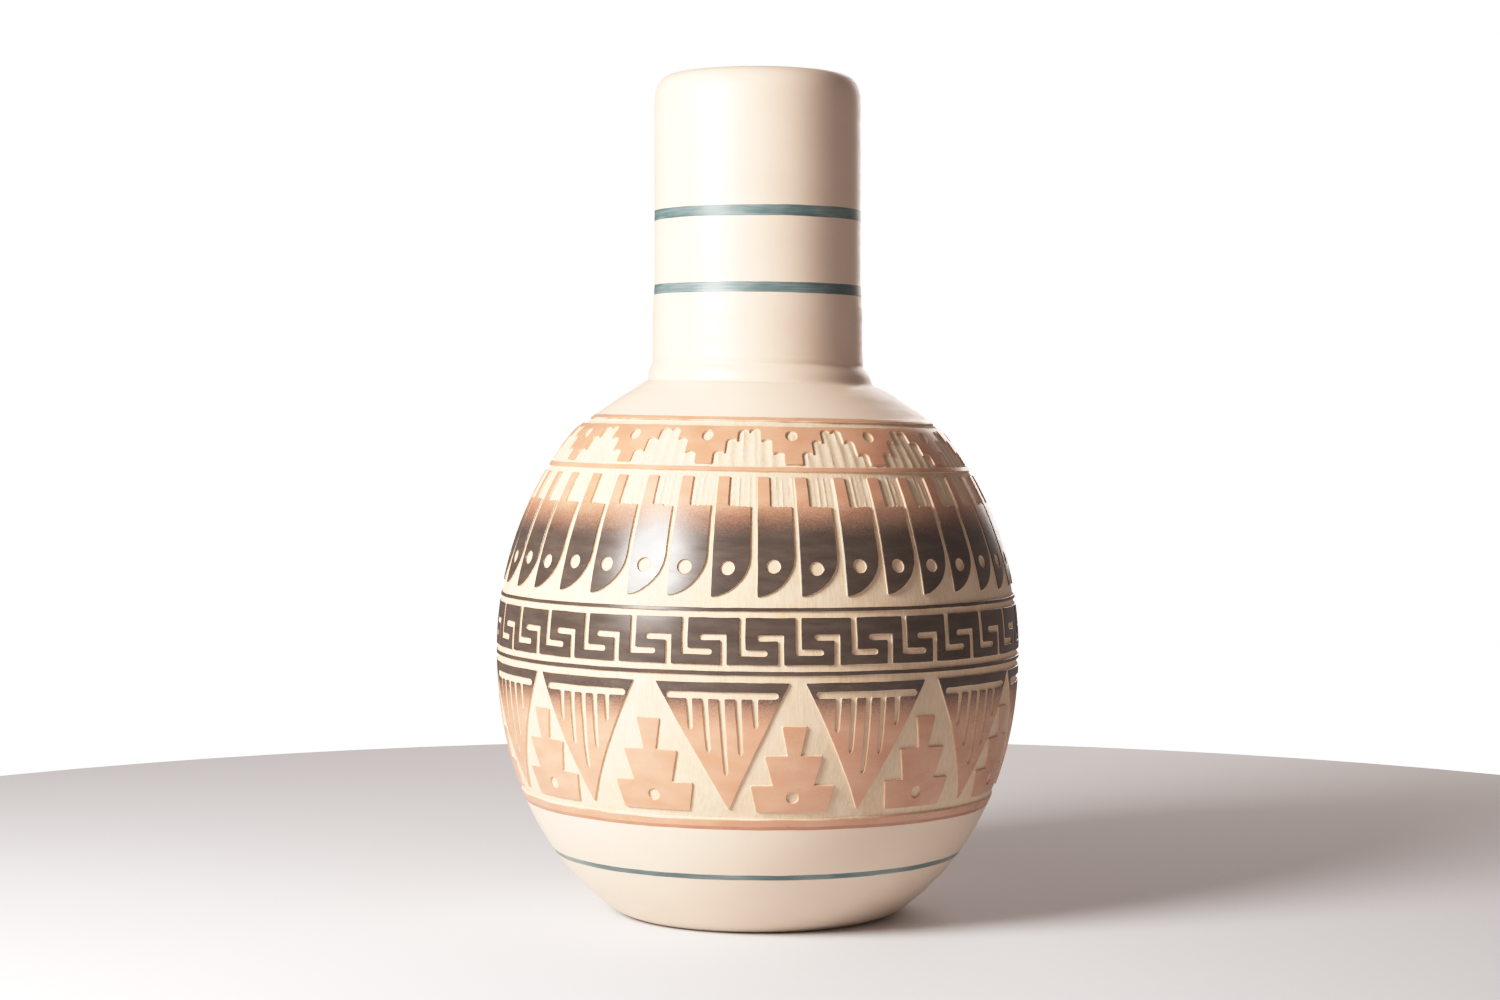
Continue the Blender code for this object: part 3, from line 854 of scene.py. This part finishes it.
def triangles():
    for k in range(TRIANGLE_COUNT):
        plate = Island((TRIANGLE_TOP + TRIANGLE_TIP) / 2)
        drift = noise.noise_vector(Vector((k * 2.9, 8.1, 0.3)))
        top_shift, tip_shift, stretch = TRIANGLE_STRAYS.get(k, (0.0, 0.0, 1.0))
        middle = plate.across(TRIANGLE_FIRST + 360 * k / TRIANGLE_COUNT)
        centre = middle + top_shift
        reach = plate.across(TRIANGLE_HALF) * stretch
        tip = (middle + tip_shift + 0.3 * drift.z, TRIANGLE_TIP)
        outline = [tip, (centre + reach, TRIANGLE_TOP), (centre - reach, TRIANGLE_TOP)]
        slant = (tip[0] - centre) / (TRIANGLE_TOP - TRIANGLE_TIP)
        plate.solid([outline, comb(centre, slant, stretch, drift)], k * 0.9)
        name = f"triangle_{k + 1:02d}"
        plate.piece(name + "_slip", "triangle_slip", name, "terracotta_slip")


def mesas():
    for k in range(TRIANGLE_COUNT):
        plate = Island(MESA_SIDE[2][0])
        drift = noise.noise_vector(Vector((k * 3.3, 1.1, 6.3)))
        shift, stretch = MESA_STRAYS.get(k, (0.0, 1.0))
        centre = plate.across(TRIANGLE_FIRST + 360 * (k + 0.5) / TRIANGLE_COUNT + 0.3 * drift.x)
        centre += shift
        base = MESA_SIDE[0][0]
        side = [(plate.across(half + 0.2 * drift.z), base + (z - base) * stretch)
                for z, half in MESA_SIDE]
        outline = [(centre + u, z) for u, z in side] + [(centre - u, z) for u, z in side[::-1]]
        dot = hole(centre + 0.6 * drift.y, MESA_DOT[0], MESA_DOT[1], lean_at(MESA_DOT[0]))
        plate.solid([outline, dot], k * 1.3)
        name = f"stepped_mesa_{k + 1:02d}"
        plate.piece(name + "_slip", "terracotta_slip", name, "terracotta_slip")


# Materials -------------------------------------------------------------------------------------

class Finish:
    """Wires the nodes of one material."""

    def __init__(self, name, roughness=0.5):
        self.material = bpy.data.materials.new("look_" + name)
        self.material.use_nodes = True
        self.tree = self.material.node_tree
        self.shader = self.tree.nodes["Principled BSDF"]
        self.shader.inputs["Roughness"].default_value = roughness
        self.spot = self.tree.nodes.new("ShaderNodeTexCoord").outputs["Object"]

    def node(self, kind, **inputs):
        made = self.tree.nodes.new(kind)
        for name, value in inputs.items():
            self.feed(made.inputs[name.replace("_", " ")], value)
        return made

    def feed(self, socket, value):
        if isinstance(value, bpy.types.NodeSocket):
            self.tree.links.new(value, socket)
        else:
            socket.default_value = value

    def noise(self, across, up, detail=3.0, roughness=0.5):
        """Noise with features of about across by up millimetres."""
        scale = (1 / (across * MM), 1 / (across * MM), 1 / (up * MM))
        mapping = self.node("ShaderNodeMapping", Vector=self.spot, Scale=scale)
        made = self.node("ShaderNodeTexNoise", Vector=mapping.outputs[0], Scale=1.0,
                         Detail=detail, Roughness=roughness)
        return made.outputs["Fac"]

    def maths(self, operation, a, b):
        made = self.tree.nodes.new("ShaderNodeMath")
        made.operation = operation
        self.feed(made.inputs[0], a)
        self.feed(made.inputs[1], b)
        return made.outputs[0]

    def sum(self, a, b):
        return self.maths("ADD", a, b)

    def product(self, a, b):
        return self.maths("MULTIPLY", a, b)

    def span(self, value, low, high, to_low=0.0, to_high=1.0):
        """The value mapped from low..high to to_low..to_high, held at the ends."""
        made = self.tree.nodes.new("ShaderNodeMapRange")
        for socket, number in zip(made.inputs, (value, low, high, to_low, to_high)):
            self.feed(socket, number)
        return made.outputs[0]

    def mix(self, factor, a, b):
        made = self.tree.nodes.new("ShaderNodeMix")
        made.data_type = "RGBA"
        for socket, value in ((made.inputs[0], factor), (made.inputs[6], a), (made.inputs[7], b)):
            self.feed(socket, value)
        return made.outputs[2]

    def height(self):
        """Height above the foot in millimetres."""
        axes = self.node("ShaderNodeSeparateXYZ", Vector=self.spot)
        return self.product(axes.outputs["Z"], 1 / MM)

    def bump(self, height, distance, strength=1.0):
        made = self.node("ShaderNodeBump", Strength=strength, Distance=distance * MM, Height=height)
        self.feed(self.shader.inputs["Normal"], made.outputs[0])

    def colour(self, value):
        self.feed(self.shader.inputs["Base Color"], value)

    def roughness(self, value):
        self.feed(self.shader.inputs["Roughness"], value)


CREAM = (0.80, 0.64, 0.505, 1)
CREAM_DEEP = (0.70, 0.53, 0.40, 1)
CARVED = (0.78, 0.60, 0.415, 1)
CARVED_DEEP = (0.64, 0.46, 0.30, 1)
RAW = (0.68, 0.50, 0.37, 1)
RAW_DEEP = (0.55, 0.38, 0.27, 1)
TERRACOTTA = (0.56, 0.265, 0.155, 1)
TERRACOTTA_DEEP = (0.34, 0.13, 0.085, 1)
TERRACOTTA_THIN = (0.68, 0.39, 0.255, 1)
BLACK = (0.066, 0.045, 0.035, 1)
BLACK_WORN = (0.125, 0.092, 0.072, 1)
TEAL = (0.078, 0.130, 0.132, 1)
TEAL_THIN = (0.27, 0.33, 0.32, 1)
TABLE_TONES = ((0.70, 0.705, 0.72, 1), (0.73, 0.735, 0.75, 1))
SLIP_GLOSS = 0.62


def burnished_clay():
    """Satin outside, rubbed with a stone: faint bands, a mottle and a few fine specks."""
    made = Finish("burnished_clay")
    mottle = made.noise(26, 14, 4.0, 0.55)
    bands = made.noise(60, 1.6, 2.0)
    specks = made.span(made.noise(0.55, 0.55, 2.0), 0.70, 0.78)
    tone = made.mix(made.span(mottle, 0.35, 0.7), CREAM, CREAM_DEEP)
    tone = made.mix(0.30, CREAM, tone)
    made.colour(made.mix(made.product(specks, 0.35), tone, RAW_DEEP))
    streaks = made.noise(9, 0.7, 3.0)
    rubbing = made.sum(streaks, made.product(bands, 0.6))
    made.roughness(made.span(rubbing, 0.5, 1.1, 0.30, 0.46))
    made.bump(made.sum(streaks, made.product(made.noise(0.6, 0.6, 2.0), 0.5)), 0.03, 0.35)
    return made.material


def carved_clay():
    """Matt cut ground, a little yellower, with tool chatter and dust in its pores."""
    made = Finish("carved_clay", 0.8)
    drag = made.noise(0.7, 6.0, 4.0, 0.6)
    chatter = made.noise(1.4, 0.5, 3.0)
    pores = made.noise(0.28, 0.28, 2.0)
    tone = made.mix(made.span(drag, 0.32, 0.72), CARVED, CARVED_DEEP)
    tone = made.mix(made.span(made.noise(9, 6), 0.3, 0.75, 0.0, 0.5), tone, CREAM)
    made.colour(made.mix(made.span(pores, 0.62, 0.8, 0.0, 0.35), tone, RAW))
    made.roughness(made.span(chatter, 0.3, 0.7, 0.62, 0.88))
    made.bump(made.sum(made.product(drag, 0.8), made.product(pores, 0.35)), 0.18, 0.6)
    return made.material


def raw_clay():
    """Unburnished inside and underside, with the drag of the sponge."""
    made = Finish("raw_clay", 0.85)
    drag = made.noise(40, 0.8, 4.0, 0.6)
    grain = made.noise(0.5, 0.5, 3.0, 0.6)
    made.colour(made.mix(made.span(made.sum(drag, grain), 0.7, 1.3), RAW, RAW_DEEP))
    made.roughness(made.span(grain, 0.3, 0.7, 0.74, 0.92))
    made.bump(made.sum(drag, made.product(grain, 0.6)), 0.25, 0.7)
    return made.material


def slip_base(made, tone):
    """Burnish streaks, chips and fine grain that the terracotta and black slips share."""
    streaks = made.noise(8, 3.0, 2.0, 0.4)
    grain = made.noise(0.6, 0.5, 1.0)
    made.shader.inputs["Specular IOR Level"].default_value = SLIP_GLOSS
    made.roughness(made.span(streaks, 0.3, 0.7, 0.26, 0.33))
    made.bump(made.sum(streaks, made.product(grain, 0.25)), 0.012, 0.25)
    chips = made.span(made.noise(0.9, 0.6, 3.0, 0.7), 0.74, 0.80, 0.0, 0.6)
    made.colour(made.mix(chips, tone, CARVED))
    return made.material


def terracotta_tone(made):
    cover = made.noise(9, 4, 3.0, 0.5)
    cloud = made.noise(16, 12, 2.0)
    thin = made.span(made.sum(cover, cloud), 0.75, 1.3, 0.0, 0.7)
    return made.mix(thin, TERRACOTTA, TERRACOTTA_THIN)


def black_tone(made):
    cover = made.noise(12, 2.5, 4.0, 0.6)
    return made.mix(made.span(cover, 0.40, 0.75, 0.0, 0.7), BLACK, BLACK_WORN)


def fading_slip(name, fade):
    """Terracotta slip sprayed over with black, which fades out in fine speckle by height."""
    made = Finish(name)
    drift = made.product(made.sum(made.noise(16, 16, 2.0), -0.5), 3.0)
    speckle = made.product(made.sum(made.noise(0.4, 0.4, 1.0), -0.5), 0.55)
    level = made.span(made.sum(made.height(), drift), fade[0], fade[1])
    level = made.maths("POWER", made.span(made.sum(level, speckle), 0.05, 0.95), FADE_POWER)
    return made, level


def feather_slip():
    made, level = fading_slip("feather_slip", FEATHER_FADE)
    return slip_base(made, made.mix(level, black_tone(made), terracotta_tone(made)))


def triangle_slip():
    made, level = fading_slip("triangle_slip", TRIANGLE_FADE)
    return slip_base(made, made.mix(level, terracotta_tone(made), black_tone(made)))


def terracotta_slip():
    made = Finish("terracotta_slip")
    return slip_base(made, terracotta_tone(made))


def terracotta_edge():
    """Where the brush left the slip thicker along the edge of a line."""
    made = Finish("terracotta_edge")
    return slip_base(made, made.mix(made.noise(7, 3, 3.0), TERRACOTTA, TERRACOTTA_DEEP))


def black_slip():
    made = Finish("black_slip")
    return slip_base(made, black_tone(made))


def teal_slip():
    """Thin brushed colour, streaked along the stroke."""
    made = Finish("teal_slip")
    stroke = made.noise(12, 0.35, 4.0, 0.65)
    load = made.noise(18, 5, 2.0)
    thin = made.span(made.sum(stroke, load), 0.85, 1.35, 0.0, 0.9)
    made.colour(made.mix(thin, TEAL, TEAL_THIN))
    made.roughness(made.span(stroke, 0.3, 0.7, 0.32, 0.44))
    made.bump(stroke, 0.03, 0.4)
    return made.material


MAKERS = {
    "burnished_clay": burnished_clay,
    "carved_clay": carved_clay,
    "raw_clay": raw_clay,
    "terracotta_slip": terracotta_slip,
    "terracotta_edge": terracotta_edge,
    "black_slip": black_slip,
    "feather_slip": feather_slip,
    "triangle_slip": triangle_slip,
    "teal_slip": teal_slip,
}


def material(name):
    return bpy.data.materials.get("look_" + name) or MAKERS[name]()


def clay_finishes():
    return [material("burnished_clay"), material("carved_clay"), material("raw_clay")]


# Stage -----------------------------------------------------------------------------------------

# Lengths here are in metres.
TABLE_RADIUS = 0.45
TABLE_THICKNESS = 0.02
TABLE_BEVEL = 0.006

# Azimuth, elevation, distance, diameter, watts and colour of each lamp.
LAMPS = {
    "key_light": (-48, 22, 0.65, 0.30, 8.9, (1.0, 0.97, 0.945)),
    "back_light": (166, 16, 1.2, 0.8, 6, (1.0, 0.90, 0.84)),
}
AIR_COLOUR = (1.0, 0.79, 0.735, 1)
AIR_STRENGTH = 0.215

# Brightest light that the film tells apart, and the tone it gives to each light below that.
FILM_WHITE = 1.5
FILM_CURVE = ((0.15, 0.15), (0.30, 0.30), (0.53, 0.52), (0.815, 0.73), (1.06, 0.863), (1.265, 0.93))

# Lens and sensor in millimetres, where the camera stands and the point it looks at.
LENS = 67.8
SENSOR = 36.0
CAMERA_SPOT = (0.0, -0.847, 0.1484)
CAMERA_AIM = (-0.0023, 0.0, 0.1233)


def table():
    """Round pale table top under the vase."""
    sheet = Sheet()
    rows = [np.array([[0.0, 0.0, -TABLE_THICKNESS]])]
    outline = ((TABLE_RADIUS, -TABLE_THICKNESS), (TABLE_RADIUS, -TABLE_BEVEL))
    outline += ((TABLE_RADIUS - TABLE_BEVEL, 0.0),)
    rows += [turned_row(INNER_COLUMNS, r / MM, z / MM) for r, z in outline]
    rows += [np.array([[0.0, 0.0, 0.0]])]
    stack(sheet, [(rows, 0)])
    made = Finish("table_paper", 0.9)
    made.colour(made.mix(made.noise(3, 3, 3.0), *TABLE_TONES))
    sheet.object("table_top", [made.material])


def area_light(name, azimuth, elevation, distance, size, power, colour):
    """A soft lamp that looks at the middle of the vase; azimuth 0 is the camera's side."""
    aim = Vector((0, 0, HEIGHT * MM / 2))
    turn = math.radians(azimuth)
    rise = math.radians(elevation)
    level = math.cos(rise)
    away = Vector((math.sin(turn) * level, -math.cos(turn) * level, math.sin(rise)))
    lamp = bpy.data.lights.new(name, "AREA")
    lamp.shape = "DISK"
    lamp.size = size
    lamp.energy = power
    lamp.color = colour
    made = bpy.data.objects.new(name, lamp)
    made.location = aim + away * distance
    made.rotation_euler = (-away).to_track_quat("-Z", "Y").to_euler()
    bpy.context.scene.collection.objects.link(made)


def lights():
    """Both lamps, and dim warm air that the camera itself sees as white."""
    for name, lamp in LAMPS.items():
        area_light(name, *lamp)
    air = bpy.data.worlds.new("studio_air")
    air.use_nodes = True
    tree = air.node_tree
    dim = tree.nodes["Background"]
    dim.inputs["Color"].default_value = AIR_COLOUR
    dim.inputs["Strength"].default_value = AIR_STRENGTH
    white = tree.nodes.new("ShaderNodeBackground")
    white.inputs["Color"].default_value = (1, 1, 1, 1)
    white.inputs["Strength"].default_value = FILM_WHITE
    choose = tree.nodes.new("ShaderNodeMixShader")
    rays = tree.nodes.new("ShaderNodeLightPath")
    tree.links.new(rays.outputs["Is Camera Ray"], choose.inputs[0])
    tree.links.new(dim.outputs[0], choose.inputs[1])
    tree.links.new(white.outputs[0], choose.inputs[2])
    tree.links.new(choose.outputs[0], tree.nodes["World Output"].inputs["Surface"])
    bpy.context.scene.world = air


def film():
    """Rolls off the brightest tones as a camera does, instead of clipping them."""
    view = bpy.context.scene.view_settings
    view.view_transform = "Standard"
    view.use_curve_mapping = True
    mapping = view.curve_mapping
    mapping.white_level = (FILM_WHITE, FILM_WHITE, FILM_WHITE)
    for light, tone in FILM_CURVE:
        mapping.curves[3].points.new(light / FILM_WHITE, tone)
    mapping.update()


def camera():
    lens = bpy.data.cameras.new("camera")
    lens.lens = LENS
    lens.sensor_width = SENSOR
    made = bpy.data.objects.new("camera", lens)
    made.location = CAMERA_SPOT
    made.rotation_euler = (Vector(CAMERA_AIM) - made.location).to_track_quat("-Z", "Y").to_euler()
    bpy.context.scene.collection.objects.link(made)
    bpy.context.scene.camera = made


def main():
    lower_bowl()
    upper_bowl()
    luting_coil()
    neck()
    for name, (bottom, top) in TEAL_LINES.items():
        line(name, bottom, top, "teal_slip", PAINTED_FOOT, NECK_COLUMNS)
    for name, (bottom, top) in PAINTED_LINES.items():
        line(name, bottom, top, "terracotta_slip", PAINTED_FOOT, COLUMNS)
    for name, (bottom, top, finish) in TURNED_LINES.items():
        line(name, bottom, top, finish, TURNED_FOOT, COLUMNS)
    cloud_band()
    feather_band()
    key_band()
    triangles()
    mesas()
    table()
    lights()
    camera()
    film()


main()
